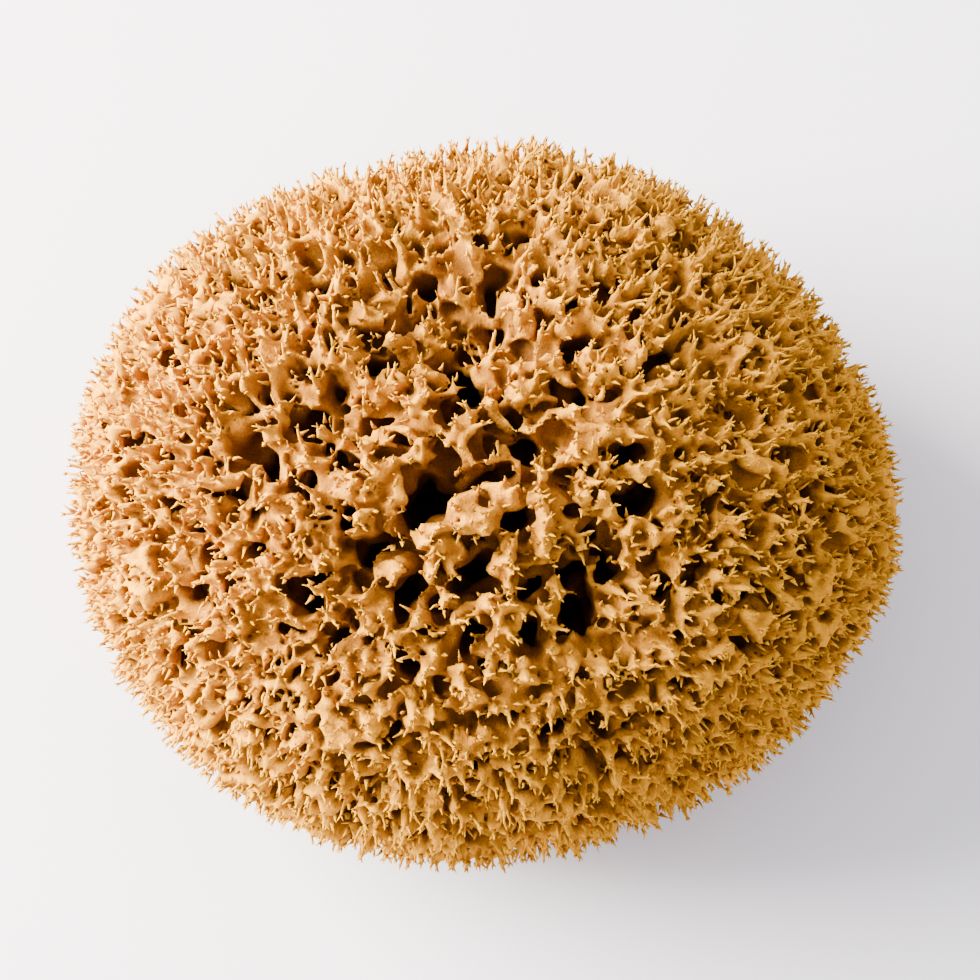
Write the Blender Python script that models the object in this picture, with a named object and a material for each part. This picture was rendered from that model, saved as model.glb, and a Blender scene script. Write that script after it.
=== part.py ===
"""A natural sea sponge of the honeycomb or wool kind, dried and trimmed for the bath. Metres, +Z up.

The sponge grew as one piece, so it is one object. Its envelope is a cushion-shaped superellipsoid with a few
broad swells and dents. The skin is a net: canal mouths spread evenly over the envelope, and a pointed tuft
stands in each gap between three of them. Wide holes, the oscules, go deep into the body, and the foot is the
flat cut where the sponge was taken off the sea bed. The origin is under the middle of the sponge, on the cut.
"""

import math

import bmesh
import bpy
import numpy as np
from mathutils import Vector

# Overall size, from tip to tip of the tufts
WIDTH = 0.140
DEPTH = 0.126
HEIGHT = 0.078

# The envelope: how high its widest section is, how full its curve is, and how far the curve would reach
# below that section if the foot weren't cut off
WIDEST_HEIGHT = 0.032
FULLNESS = 2.1
UNCUT_DROP = 0.042

# Swells of the envelope as (share of the radius, turns about Z, start in degrees, turns over the height)
SWELLS = (
    (0.0078, 2, 12.0, 0.0),
    (0.0039, 3, 43.0, 1.0),
    (0.0149, 4, 321.0, 0.0),
    (0.0069, 5, 33.0, 2.0),
    (0.0028, 6, 187.0, 1.0),
    (0.0045, 7, 305.0, 2.0),
    (0.0029, 8, 14.0, 0.0),
)

# Broad dents of the envelope as (x, y, radius, depth), seen from above
DENTS = (
    (-0.004, 0.020, 0.012, 0.0090),
    (-0.024, 0.004, 0.010, 0.0045),
    (-0.012, -0.034, 0.010, 0.0035),
    (0.018, -0.028, 0.009, 0.0030),
    (0.041, 0.004, 0.008, 0.0025),
)

# The skin
CANAL_MOUTHS = 850
CANAL_DEPTH = (0.0035, 0.0080)
TUFT_SHORTFALL = (0.0, 0.0016)
WEBBED_SHARE = 0.6
SPREAD_ROUNDS = 40
SEED = 590

# Oscules on the upper side as (x, y, radius, depth below the tips), biggest first in each row
OSCULES = (
    (-0.0095, -0.0125, 0.0052, 0.030), (0.0162, 0.0051, 0.0046, 0.030), (-0.0055, 0.0180, 0.0060, 0.022),
    (-0.0160, -0.0340, 0.0044, 0.024), (-0.0212, -0.0225, 0.0042, 0.026), (-0.0128, -0.0290, 0.0036, 0.022),
    (-0.0010, -0.0280, 0.0046, 0.026), (0.0093, -0.0305, 0.0038, 0.022), (0.0180, -0.0285, 0.0044, 0.026),
    (0.0262, -0.0145, 0.0034, 0.024), (0.0214, -0.0200, 0.0032, 0.022), (-0.0075, -0.0375, 0.0034, 0.020),
    (-0.0024, -0.0430, 0.0038, 0.020), (0.0204, -0.0413, 0.0040, 0.024), (0.0266, -0.0276, 0.0034, 0.022),
    (0.0376, -0.0325, 0.0034, 0.020), (0.0110, -0.0458, 0.0032, 0.018), (0.0060, -0.0152, 0.0032, 0.022),
    (-0.0380, -0.0340, 0.0028, 0.016), (-0.0334, 0.0021, 0.0032, 0.018), (0.0306, -0.0122, 0.0026, 0.018),
    (0.0074, -0.0030, 0.0030, 0.018), (0.0274, -0.0040, 0.0026, 0.016), (-0.0430, -0.0050, 0.0026, 0.014),
)
OSCULE_TAPER = 0.12

# Oscules that open on the flanks as (degrees about Z, height, radius, depth below the tips)
FLANK_OSCULES = (
    (20.0, 0.044, 0.0036, 0.016), (75.0, 0.050, 0.0034, 0.016), (118.0, 0.036, 0.0042, 0.018),
    (160.0, 0.046, 0.0034, 0.015), (205.0, 0.030, 0.0036, 0.016), (252.0, 0.040, 0.0034, 0.014),
    (300.0, 0.028, 0.0038, 0.016), (340.0, 0.034, 0.0032, 0.014),
)

# Pores that the cut laid open in the foot as (degrees about Z, share of the foot's reach, radius, depth)
FOOT_PORES = (
    (10.0, 0.45, 0.0044, 0.008), (78.0, 0.52, 0.0036, 0.007), (140.0, 0.40, 0.0050, 0.009),
    (198.0, 0.62, 0.0034, 0.006), (245.0, 0.38, 0.0042, 0.008), (305.0, 0.58, 0.0046, 0.008),
)
FOOT_REACH = 0.042

SPONGE_COLOUR = (0.66, 0.40, 0.15, 1.0)
SPONGE_ROUGHNESS = 0.92


def clear_scene():
    for obj in list(bpy.data.objects):
        bpy.data.objects.remove(obj)


def new_collection(name):
    collection = bpy.data.collections.new(name)
    bpy.context.scene.collection.children.link(collection)
    return collection


def sponge_material():
    material = bpy.data.materials.new("dried sponge fibre")
    material.use_nodes = True
    shader = material.node_tree.nodes["Principled BSDF"]
    shader.inputs["Base Color"].default_value = SPONGE_COLOUR
    shader.inputs["Roughness"].default_value = SPONGE_ROUGHNESS
    shader.inputs["Metallic"].default_value = 0.0
    return material


def envelope_radius(directions):
    """Distance from the envelope's centre to the tips of the tufts along each unit direction."""
    x, y, z = directions.T
    drop = np.where(z > 0, HEIGHT - WIDEST_HEIGHT, UNCUT_DROP)
    sides = np.abs(x / (WIDTH / 2)) ** FULLNESS + np.abs(y / (DEPTH / 2)) ** FULLNESS
    radius = (sides + np.abs(z / drop) ** FULLNESS) ** (-1 / FULLNESS)
    angle = np.arctan2(y, x)
    level = np.hypot(x, y)
    for share, turns, start, rise in SWELLS:
        wave = np.cos(turns * angle - math.radians(start) + rise * math.pi * z)
        radius = radius * (1 + share * level * wave)
    for dent_x, dent_y, reach, depth in DENTS:
        away = np.hypot(x * radius - dent_x, y * radius - dent_y)
        radius = radius - np.where(z > 0, depth * np.exp(-((away / reach) ** 2)), 0.0)
    return radius


def unit(vectors):
    return vectors / np.linalg.norm(vectors, axis=1, keepdims=True)


def spread_directions(count, rng):
    """Directions whose points on the envelope lie about equally far apart: each point is pushed off its near
    neighbours, again and again, and put back on the envelope."""
    directions = unit(rng.normal(size=(count, 3)))
    reach = 1.5 * math.sqrt(math.pi * WIDTH * DEPTH / count)
    for _ in range(SPREAD_ROUNDS):
        points = directions * envelope_radius(directions)[:, None]
        gaps = points[:, None, :] - points[None, :, :]
        far = np.linalg.norm(gaps, axis=2)
        push = np.clip(1 - far / reach, 0, None) ** 2 / np.maximum(far, 1e-9)
        np.fill_diagonal(push, 0.0)
        points = points + 0.35 * reach * (gaps * push[:, :, None]).sum(axis=1)
        directions = unit(points)
    return directions


def skin_net(directions, rng):
    """The net of the skin on a unit ball: canal mouths joined by a hull, a tuft poked up in every gap, and most
    edges between two mouths turned round, so that a web of skin joins the tufts on its two sides."""
    net = bmesh.new()
    mouths = [net.verts.new(direction) for direction in directions]
    bmesh.ops.convex_hull(net, input=mouths)
    between_mouths = list(net.edges)
    bmesh.ops.poke(net, faces=list(net.faces))
    webbed = [edge for edge in between_mouths if rng.random() < WEBBED_SHARE]
    bmesh.ops.rotate_edges(net, edges=webbed, use_ccw=False)
    net.verts.ensure_lookup_table()
    return net, len(mouths)


def grow_body(collection, rng):
    net, mouth_count = skin_net(spread_directions(CANAL_MOUTHS, rng), rng)
    directions = unit(np.array([vertex.co for vertex in net.verts]))
    sink = rng.uniform(*TUFT_SHORTFALL, size=len(directions))
    sink[:mouth_count] = rng.uniform(*CANAL_DEPTH, size=mouth_count)
    points = directions * (envelope_radius(directions) - sink)[:, None]
    points[:, 2] += WIDEST_HEIGHT
    for vertex, point in zip(net.verts, points):
        vertex.co = point
    bmesh.ops.recalc_face_normals(net, faces=list(net.faces))
    mesh = bpy.data.meshes.new("sea_sponge")
    net.to_mesh(mesh)
    net.free()
    body = bpy.data.objects.new("sea_sponge", mesh)
    collection.objects.link(body)
    return body


def add_cutter(collection, name, mesh_maker, location, axis):
    """A hidden cutting shape whose own +Z points along the axis."""
    shape = bmesh.new()
    mesh_maker(shape)
    mesh = bpy.data.meshes.new(name)
    shape.to_mesh(mesh)
    shape.free()
    cutter = bpy.data.objects.new(name, mesh)
    cutter.location = location
    cutter.rotation_mode = "QUATERNION"
    cutter.rotation_quaternion = Vector(axis).to_track_quat("Z", "Y")
    cutter.hide_render = True
    cutter.display_type = "WIRE"
    collection.objects.link(cutter)
    return cutter


def pit_shape(radius, depth):
    """A long egg whose middle is at the mouth: it cuts a round pit that narrows to a rounded bottom."""
    def make(shape):
        bmesh.ops.create_icosphere(shape, subdivisions=2, radius=1.0)
        for vertex in shape.verts:
            narrow = 1 + OSCULE_TAPER * vertex.co.z
            vertex.co.x *= radius * narrow
            vertex.co.y *= radius * narrow
            vertex.co.z *= depth
    return make


def surface_point(direction):
    reach = envelope_radius(np.array([direction]))[0]
    return Vector(direction) * reach + Vector((0, 0, WIDEST_HEIGHT))


def direction_over(x, y):
    """The unit direction from the envelope's centre to the upper surface over (x, y), found in a few rounds."""
    direction = Vector((x, y, HEIGHT - WIDEST_HEIGHT)).normalized()
    for _ in range(12):
        height = surface_point(direction).z - WIDEST_HEIGHT
        reach = math.hypot(*surface_point(direction).xy) / max(math.hypot(x, y), 1e-6)
        direction = Vector((x, y, height / reach)).normalized()
    return direction


def outward_axis(direction):
    """The smooth ellipsoid's normal there, which is how the canals run."""
    return Vector((
        direction.x / (WIDTH / 2) ** 2,
        direction.y / (DEPTH / 2) ** 2,
        direction.z / (HEIGHT - WIDEST_HEIGHT) ** 2,
    )).normalized()


def cut_oscules(collection):
    for index, (x, y, radius, depth) in enumerate(OSCULES):
        direction = direction_over(x, y)
        add_cutter(collection, f"oscule_cutter_{index}", pit_shape(radius, depth),
                   surface_point(direction), outward_axis(direction))
    for index, (degrees, height, radius, depth) in enumerate(FLANK_OSCULES):
        angle = math.radians(degrees)
        flat = (math.cos(angle) * WIDTH / 2, math.sin(angle) * DEPTH / 2)
        direction = Vector((*flat, height - WIDEST_HEIGHT)).normalized()
        add_cutter(collection, f"flank_cutter_{index}", pit_shape(radius, depth),
                   surface_point(direction), outward_axis(direction))


def cut_foot(collection):
    """The knife is a block under the foot, and each pore that it laid open is a short egg across its face."""
    knife_size = 2 * WIDTH

    def knife(shape):
        bmesh.ops.create_cube(shape, size=knife_size)
    add_cutter(collection, "foot_knife", knife, (0, 0, -knife_size / 2), (0, 0, 1))
    for index, (degrees, share, radius, depth) in enumerate(FOOT_PORES):
        angle = math.radians(degrees)
        spot = (math.cos(angle) * share * FOOT_REACH, math.sin(angle) * share * FOOT_REACH, 0.0)
        add_cutter(collection, f"foot_pore_cutter_{index}", pit_shape(radius, depth), spot, (0, 0, 1))


def centre_over_origin(body, cutters):
    """Moves the sponge and its cutters sideways, so that the middle of its outline is over the origin."""
    points = np.array([vertex.co for vertex in body.data.vertices])
    middle = (points.min(axis=0) + points.max(axis=0)) / 2
    shift = Vector((-middle[0], -middle[1], 0.0))
    for vertex in body.data.vertices:
        vertex.co += shift
    for cutter in cutters.objects:
        cutter.location += shift


def main():
    clear_scene()
    rng = np.random.default_rng(SEED)
    sponge = new_collection("sea sponge")
    cutters = new_collection("cutters")
    cutters.hide_render = True
    body = grow_body(sponge, rng)
    body.data.materials.append(sponge_material())
    cut_oscules(cutters)
    cut_foot(cutters)
    centre_over_origin(body, cutters)
    opening = body.modifiers.new("oscules and foot", "BOOLEAN")
    opening.operation = "DIFFERENCE"
    opening.operand_type = "COLLECTION"
    opening.collection = cutters
    opening.solver = "EXACT"


main()
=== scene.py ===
"""The looks of a natural sea sponge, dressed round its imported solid. Metres, +Z up, the solid's own frame.

The fibre body is a level surface of a field that numpy works out on a grid of voxels: the outline's own form, with
canals of three sizes packed side by side and carved down from the skin, windows between them, wide oscules, and
short grooves round the rims. Spires rise where three walls meet and split into prongs, and thorns stand on the rims.
"""

from __future__ import annotations

import logging
import math
from dataclasses import dataclass, field
from enum import Enum

import bmesh
import bpy
import numpy as np
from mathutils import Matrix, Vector

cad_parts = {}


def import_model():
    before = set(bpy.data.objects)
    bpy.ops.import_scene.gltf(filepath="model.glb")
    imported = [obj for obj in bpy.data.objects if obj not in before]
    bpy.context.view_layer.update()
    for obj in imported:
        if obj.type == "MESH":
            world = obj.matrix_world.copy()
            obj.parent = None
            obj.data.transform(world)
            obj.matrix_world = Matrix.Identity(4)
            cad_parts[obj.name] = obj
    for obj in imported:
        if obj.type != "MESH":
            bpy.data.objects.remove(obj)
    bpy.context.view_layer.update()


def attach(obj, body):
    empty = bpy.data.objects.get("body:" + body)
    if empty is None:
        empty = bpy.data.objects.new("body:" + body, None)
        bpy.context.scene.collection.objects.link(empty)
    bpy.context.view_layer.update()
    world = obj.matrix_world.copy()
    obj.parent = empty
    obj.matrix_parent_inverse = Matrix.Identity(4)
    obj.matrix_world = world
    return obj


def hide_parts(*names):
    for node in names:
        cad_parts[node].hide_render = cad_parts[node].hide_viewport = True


LOG = logging.getLogger("sea_sponge")
NODE = "sea_sponge"
FINE_STEP = 0.0006
GLOW = 0.12
Array = np.ndarray


def unit(vectors: Array) -> Array:
    """Rows scaled to length one."""
    return vectors / np.maximum(np.linalg.norm(vectors, axis=-1, keepdims=True), 1e-12)


def smooth_min(a: Array, b: Array, blend: float) -> Array:
    """The lower of two fields, with the crease rounded over the blend distance.

    Formula: min(a, b) less a quarter of blend times h squared, with h = max(blend - |a - b|, 0) / blend.

    Args:
        a: One field, positive inside the fibre.
        b: The other field.
        blend: How near the two must be for the rounding to start.

    Returns:
        The rounded intersection of the two.
    """
    near = np.maximum(blend - np.abs(a - b), 0) / blend
    return np.minimum(a, b) - near * near * (blend / 4)


def smooth_max(a: Array, b: Array, blend: float) -> Array:
    """The higher of two fields, rounded as smooth_min rounds: the blended union."""
    return -smooth_min(-a, -b, blend)


@dataclass(frozen=True)
class Envelope:
    """The smooth cushion that the tips of the tufts reach: a superellipsoid with swells and dents."""

    width: float = 0.140
    depth: float = 0.126
    height: float = 0.078
    widest: float = 0.032
    fullness: float = 2.1
    drop: float = 0.042
    swells: tuple[tuple[float, int, float, float], ...] = (
        (0.0078, 2, 12.0, 0.0),
        (0.0039, 3, 43.0, 1.0),
        (0.0149, 4, 321.0, 0.0),
        (0.0069, 5, 33.0, 2.0),
        (0.0028, 6, 187.0, 1.0),
        (0.0045, 7, 305.0, 2.0),
        (0.0029, 8, 14.0, 0.0),
    )
    dents: tuple[tuple[float, float, float, float], ...] = (
        (-0.004, 0.020, 0.012, 0.0090),
        (-0.024, 0.004, 0.010, 0.0045),
        (-0.012, -0.034, 0.010, 0.0035),
        (0.018, -0.028, 0.009, 0.0030),
        (0.041, 0.004, 0.008, 0.0025),
    )

    @property
    def centre(self) -> Array:
        """The point that the directions start from."""
        return np.array([0.0, 0.0, self.widest])

    def reach(self, x: Array, y: Array, z: Array) -> tuple[Array, Array]:
        """How far the envelope reaches through points given from its centre.

        Formula: |p| over the superellipsoid's own measure of p, times one plus the swells, each a cosine of the
        angle about Z and of the rise, less a bell-shaped dent over each dent's place.

        Args:
            x: Offsets along X from the centre.
            y: Offsets along Y from the centre.
            z: Offsets along Z from the centre.

        Returns:
            The envelope's radius in each point's direction, and each point's own distance from the centre.
        """
        tall = np.where(z > 0, self.height - self.widest, self.drop)
        sides = np.abs(x / (self.width / 2)) ** self.fullness + np.abs(y / (self.depth / 2)) ** self.fullness
        measure = (sides + np.abs(z / tall) ** self.fullness) ** (1 / self.fullness)
        away = np.sqrt(x * x + y * y + z * z) + 1e-9
        radius = away / np.maximum(measure, 1e-9)
        angle = np.arctan2(y, x)
        level = np.hypot(x, y) / away
        rise = z / away
        for share, turns, start, climb in self.swells:
            wave = np.cos(turns * angle - math.radians(start) + climb * math.pi * rise)
            radius = radius * (1 + share * level * wave)
        scale = radius / away
        for dent_x, dent_y, spread, deep in self.dents:
            off = np.hypot(x * scale - dent_x, y * scale - dent_y)
            radius = radius - np.where(z > 0, deep * np.exp(-((off / spread) ** 2)), 0.0)
        return radius, away

    def point(self, directions: Array) -> Array:
        """Points of the envelope along unit directions, in the frame."""
        radius, _ = self.reach(*directions.T)
        return self.centre + directions * radius[:, None]

    def outward(self, directions: Array) -> Array:
        """The smooth ellipsoid's outward normals there, along which canals and tufts run."""
        half = np.array([self.width / 2, self.depth / 2, self.height - self.widest])
        return unit(directions / half**2)

    def over(self, x: float, y: float) -> Array:
        """The unit direction from the centre to the upper surface over (x, y), closed in on in a few rounds."""
        aim = np.array([[x, y, self.height - self.widest]])
        for _ in range(12):
            aim = unit(aim)
            radius, _ = self.reach(*aim.T)
            spot = aim * radius
            scale = np.hypot(spot[0, 0], spot[0, 1]) / max(math.hypot(x, y), 1e-6)
            aim = np.array([[x, y, spot[0, 2] / scale]])
        return unit(aim)


class CanalSize(Enum):
    """The kinds of canal that pack the skin. Each value is the radius at least, the radius at most, the length
    at least, the length at most, and how many there are."""

    WIDE = (0.0018, 0.0024, 0.0070, 0.0150, 400)
    MIDDLE = (0.0011, 0.0015, 0.0045, 0.0100, 1400)
    FLUTE = (0.0006, 0.0009, 0.0028, 0.0050, 3600)


@dataclass(frozen=True)
class CanalMouths:
    """Canal mouths of mixed sizes packed over the envelope, and the gaps between three of them."""

    envelope: Envelope
    wall: float = 0.0007
    crowding: float = 1.12
    rounds: int = 42
    near: int = 22
    seed: int = 590

    def packed(self) -> tuple[Array, Array, Array]:
        """Packs the mouths: each pushes off its near neighbours until their walls are even.

        Formula: two mouths nearer than their radii and a wall ask move apart along the line between them, by half
        of what is lacking.

        Returns:
            Unit directions from the centre, radii, and lengths of the canals.
        """
        rng = np.random.default_rng(self.seed)
        radii, lengths = [], []
        for size in CanalSize:
            thin, wide, short, long, count = size.value
            radii.append(rng.uniform(thin, wide, count))
            lengths.append(rng.uniform(short, long, count))
        radii, lengths = np.concatenate(radii), np.concatenate(lengths)
        directions = unit(rng.normal(size=(len(radii), 3)))
        for turn in range(self.rounds):
            reach, _ = self.envelope.reach(*directions.T)
            points = directions * reach[:, None]
            if turn % 7 == 0:
                close = self.nearest(points)
            gaps = points[:, None] - points[close]
            far = np.linalg.norm(gaps, axis=2)
            asked = (radii[:, None] + radii[close] + self.wall) * self.crowding
            push = np.clip(asked - far, 0, None) / np.maximum(far, 1e-9)
            directions = unit(points + 0.3 * (gaps * push[:, :, None]).sum(axis=1))
        return directions, radii, lengths

    def nearest(self, points: Array) -> Array:
        """The nearest other points of each point."""
        flat = points.astype(np.float32)
        square = (flat**2).sum(axis=1)
        far = square[:, None] + square[None, :] - 2 * flat @ flat.T
        np.fill_diagonal(far, 1.0)
        return np.argpartition(far, self.near, axis=1)[:, : self.near]

    def gaps(self, directions: Array, radii: Array) -> tuple[Array, Array]:
        """Where the walls of three near canals meet, and which canals lie side by side.

        Args:
            directions: The canals' unit directions.
            radii: Their radii.

        Returns:
            Unit directions of the meeting places, and pairs of indices of neighbouring canals.
        """
        hull = bmesh.new()
        for direction in directions:
            hull.verts.new(direction)
        bmesh.ops.convex_hull(hull, input=list(hull.verts))
        hull.verts.index_update()
        corners = np.array([[vertex.index for vertex in face.verts] for face in hull.faces])
        pairs = np.array([[vertex.index for vertex in edge.verts] for edge in hull.edges])
        hull.free()
        weight = 1 / radii[corners]
        meeting = (directions[corners] * weight[:, :, None]).sum(axis=1)
        return unit(meeting), pairs


@dataclass
class FibreField:
    """A box of voxels that holds how far inside the fibre each point lies: positive in fibre, negative in air."""

    envelope: Envelope
    step: float = FINE_STEP
    margin: float = 0.004
    foot_skin: float = 0.0015
    wander: float = 0.0009
    wander_length: float = 0.0045
    seed: int = 7
    axes: list[Array] = field(default_factory=list)
    values: Array = field(default_factory=lambda: np.zeros(0))
    warp: list[Array] = field(default_factory=list)
    depth: Array = field(default_factory=lambda: np.zeros(0))

    def __post_init__(self) -> None:
        """Lays out the grid, the warp that makes canals wander, and each voxel's depth under the envelope."""
        side, front = self.envelope.width / 2, self.envelope.depth / 2
        low = np.array([-side, -front, 0.0]) - self.margin
        high = np.array([side, front, self.envelope.height]) + self.margin
        self.axes = [np.arange(a, b, self.step, dtype=np.float32) for a, b in zip(low, high)]
        rng = np.random.default_rng(self.seed)
        self.warp = [self.noise(rng, self.wander_length) * self.wander for _ in range(3)]
        x, y, z = self.offsets()
        radius, away = self.envelope.reach(x, y, z)
        self.depth = (radius - away).astype(np.float32)

    def offsets(self) -> tuple[Array, Array, Array]:
        """Grid coordinates from the envelope's centre, as three arrays that broadcast together."""
        centre = self.envelope.centre
        return tuple(
            (axis - centre[i]).reshape([-1 if j == i else 1 for j in range(3)])
            for i, axis in enumerate(self.axes)
        )

    def noise(self, rng: np.random.Generator, length: float) -> Array:
        """Smooth random values of unit spread over the grid.

        Formula: white noise in the wave domain, times a bell curve that keeps waves longer than the length.

        Args:
            rng: The seeded source.
            length: About how far apart the swells of the noise lie.

        Returns:
            One value for each voxel.
        """
        shape = [len(axis) for axis in self.axes]
        waves = [np.fft.fftfreq(n, self.step) for n in shape[:2]] + [np.fft.rfftfreq(shape[2], self.step)]
        square = waves[0][:, None, None] ** 2 + waves[1][None, :, None] ** 2 + waves[2][None, None, :] ** 2
        bell = np.exp(-square * (length**2) * 2)
        spectrum = rng.normal(size=bell.shape) + 1j * rng.normal(size=bell.shape)
        made = np.fft.irfftn(spectrum * bell, s=shape).astype(np.float32)
        return made / made.std()

    def block(self, low: Array, high: Array) -> tuple[slice, slice, slice]:
        """The part of the grid between two corners."""
        found = []
        for i, axis in enumerate(self.axes):
            start = int(np.clip((low[i] - axis[0]) / self.step - 1, 0, len(axis) - 1))
            stop = int(np.clip((high[i] - axis[0]) / self.step + 2, start + 1, len(axis)))
            found.append(slice(start, stop))
        return tuple(found)

    def local(self, block: tuple[slice, slice, slice], origin: Array, steady: bool) -> tuple[Array, Array, Array]:
        """Coordinates of a block's voxels from an origin, shifted by the warp unless they are to be steady."""
        found = []
        for i, axis in enumerate(self.axes):
            line = axis[block[i]].reshape([-1 if j == i else 1 for j in range(3)]) - origin[i]
            found.append(line if steady else line + self.warp[i][block])
        return tuple(found)

    def carve(self, mouth: Array, inward: Array, radius: float, length: float, flare: float = 0.0,
              reach: float = 0.005, blend: float = 0.0004, steady: bool = False) -> None:
        """Carves one canal: a round tube with a flared mouth and a rounded end.

        Formula: the distance from the axis, or from its end past the length, less the radius. At the mouth the
        radius is wider by the flare, which falls off as (1 - depth / reach) to the power 1.5.

        Args:
            mouth: Where the canal starts.
            inward: Its unit direction.
            radius: Its radius below the mouth.
            length: How deep it goes.
            flare: How much wider the mouth is.
            reach: How far down the flare goes.
            blend: How far its rim is rounded.
            steady: Whether it keeps clear of the warp that makes canals wander.
        """
        start = mouth - inward * 0.002
        end = mouth + inward * length
        wide = radius + flare + blend + (0 if steady else 2 * self.wander)
        block = self.block(np.minimum(start, end) - wide, np.maximum(start, end) + wide)
        x, y, z = self.local(block, mouth, steady)
        along = x * inward[0] + y * inward[1] + z * inward[2]
        beyond = np.maximum(along - length, 0)
        off = np.sqrt(np.maximum(x * x + y * y + z * z - along * along, 0) + beyond * beyond)
        tube = off - radius - flare * np.clip(1 - along / reach, 0, 1) ** 1.5
        self.values[block] = smooth_min(self.values[block], tube, blend)

    def carve_ball(self, middle: Array, radius: float, blend: float = 0.0004) -> None:
        """Carves a round window or pore: the distance from its middle less its radius."""
        wide = radius + blend + 2 * self.wander
        block = self.block(middle - wide, middle + wide)
        x, y, z = self.local(block, middle, False)
        ball = np.sqrt(x * x + y * y + z * z) - radius
        self.values[block] = smooth_min(self.values[block], ball, blend)

    def skin(self, rng: np.random.Generator, shallow: float, deep: float, cell: float) -> Array:
        """Points of the surface between two depths, one in each small cell, in random order."""
        near = (np.abs(self.values) < self.step * 0.5) & (self.depth > shallow) & (self.depth < deep)
        near[:, :, self.axes[2] < self.foot_skin] = False
        where = np.argwhere(near)[rng.permutation(int(near.sum()))]
        points = np.stack([axis[where[:, i]] for i, axis in enumerate(self.axes)], axis=1).astype(float)
        _, first = np.unique(np.floor(points / cell).astype(int), axis=0, return_index=True)
        return points[np.sort(first)]

    def slope(self, grid: Array, points: Array) -> Array:
        """The direction in which a grid's values rise fastest at points."""
        h = self.step
        rise = [self.sample(grid, points + h * axis) - self.sample(grid, points - h * axis) for axis in np.eye(3)]
        return unit(np.stack(rise, axis=1))

    def blurred(self, width: float) -> Array:
        """The share of fibre round each voxel, within a bell-shaped neighbourhood of the width."""
        shape = self.values.shape
        waves = [np.fft.fftfreq(n, self.step) for n in shape[:2]] + [np.fft.rfftfreq(shape[2], self.step)]
        square = waves[0][:, None, None] ** 2 + waves[1][None, :, None] ** 2 + waves[2][None, None, :] ** 2
        spectrum = np.fft.rfftn((self.values > 0).astype(np.float32))
        bell = np.exp(-2 * (math.pi * width) ** 2 * square)
        return np.fft.irfftn(spectrum * bell, s=shape).astype(np.float32)

    def raise_line(self, path: Array, radii: Array, blend: float) -> None:
        """Raises a tapered bar along a line of points.

        Formula: for each straight step of the line, the radius there less the distance from it. The highest of
        the steps is blended into what the field holds.

        Args:
            path: The line's points.
            radii: The radius at each point.
            blend: How wide the fillet at its root is.
        """
        wide = radii.max() + blend
        block = self.block(path.min(axis=0) - wide, path.max(axis=0) + wide)
        x = self.axes[0][block[0]][:, None, None]
        y = self.axes[1][block[1]][None, :, None]
        z = self.axes[2][block[2]][None, None, :]
        bar = np.float32(-1.0)
        for a, b, r, s in zip(path[:-1], path[1:], radii[:-1], radii[1:]):
            way = b - a
            share = ((x - a[0]) * way[0] + (y - a[1]) * way[1] + (z - a[2]) * way[2]) / (way @ way)
            share = np.clip(share, 0, 1)
            off = np.sqrt((x - a[0] - share * way[0]) ** 2 + (y - a[1] - share * way[1]) ** 2
                          + (z - a[2] - share * way[2]) ** 2)
            bar = np.maximum(bar, r + (s - r) * share - off)
        self.values[block] = smooth_max(self.values[block], bar, blend)

    def sample(self, grid: Array, points: Array) -> Array:
        """Values of a grid at points, linear between the eight voxels round each."""
        low = np.array([axis[0] for axis in self.axes])
        place = np.clip((points - low) / self.step, 0, np.array(grid.shape) - 1.001)
        cell = place.astype(int)
        part = place - cell
        total = np.zeros(len(points))
        for corner in np.ndindex(2, 2, 2):
            weight = np.prod(np.where(corner, part, 1 - part), axis=1)
            total += weight * grid[tuple((cell + corner).T)]
        return total


def level_surface(grid: Array, low: Array, step: float) -> tuple[Array, Array]:
    """The surface where a field passes through nought, as one vertex in each crossed cell.

    Formula: a cell's vertex is the mean of the points where the field, linear along the cell's twelve edges,
    is nought. A quad joins the four cells round each grid edge whose ends have unlike signs.

    Args:
        grid: The field's values, positive inside.
        low: The place of the first voxel.
        step: The distance between voxels.

    Returns:
        The points, and the quads as rows of four indices that face out.
    """
    inside = grid > 0
    cells = tuple(n - 1 for n in grid.shape)
    count = np.zeros(cells, np.int8)
    for corner in np.ndindex(2, 2, 2):
        count += inside[tuple(slice(c, c + n) for c, n in zip(corner, cells))]
    active = (count > 0) & (count < 8)
    where = np.argwhere(active)
    number = np.full(cells, -1, np.int32)
    number[active] = np.arange(len(where))
    total = np.zeros((len(where), 3))
    hits = np.zeros((len(where), 1))
    for axis in range(3):
        others = [i for i in range(3) if i != axis]
        for first, second in np.ndindex(2, 2):
            start = np.zeros(3, int)
            start[others[0]] = first
            start[others[1]] = second
            end = start.copy()
            end[axis] = 1
            a = grid[tuple((where + start).T)].astype(float)
            b = grid[tuple((where + end).T)].astype(float)
            crossed = (a > 0) != (b > 0)
            share = np.where(crossed, a / np.where(crossed, a - b, 1.0), 0.0)
            place = start + share[:, None] * (end - start)
            total += np.where(crossed[:, None], place, 0.0)
            hits += crossed[:, None]
    points = low + step * (where + total / hits)
    quads = []
    for axis in range(3):
        others = [i for i in range(3) if i != axis]
        ahead = [slice(None)] * 3
        behind = [slice(None)] * 3
        ahead[axis] = slice(1, None)
        behind[axis] = slice(None, -1)
        for i in others:
            ahead[i] = slice(1, -1)
            behind[i] = slice(1, -1)
        rising = inside[tuple(ahead)].astype(np.int8) - inside[tuple(behind)].astype(np.int8)
        for sign in (1, -1):
            edge = np.argwhere(rising == sign)
            edge[:, others] += 1
            ring = []
            for first, second in ((1, 1), (0, 1), (0, 0), (1, 0)):
                cell = edge.copy()
                cell[:, others[0]] -= first
                cell[:, others[1]] -= second
                ring.append(number[tuple(cell.T)])
            ring = np.stack(ring, axis=1)
            flip = (sign == 1) != (axis == 1)
            quads.append(ring[:, ::-1] if flip else ring)
    return points, np.concatenate(quads)


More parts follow.
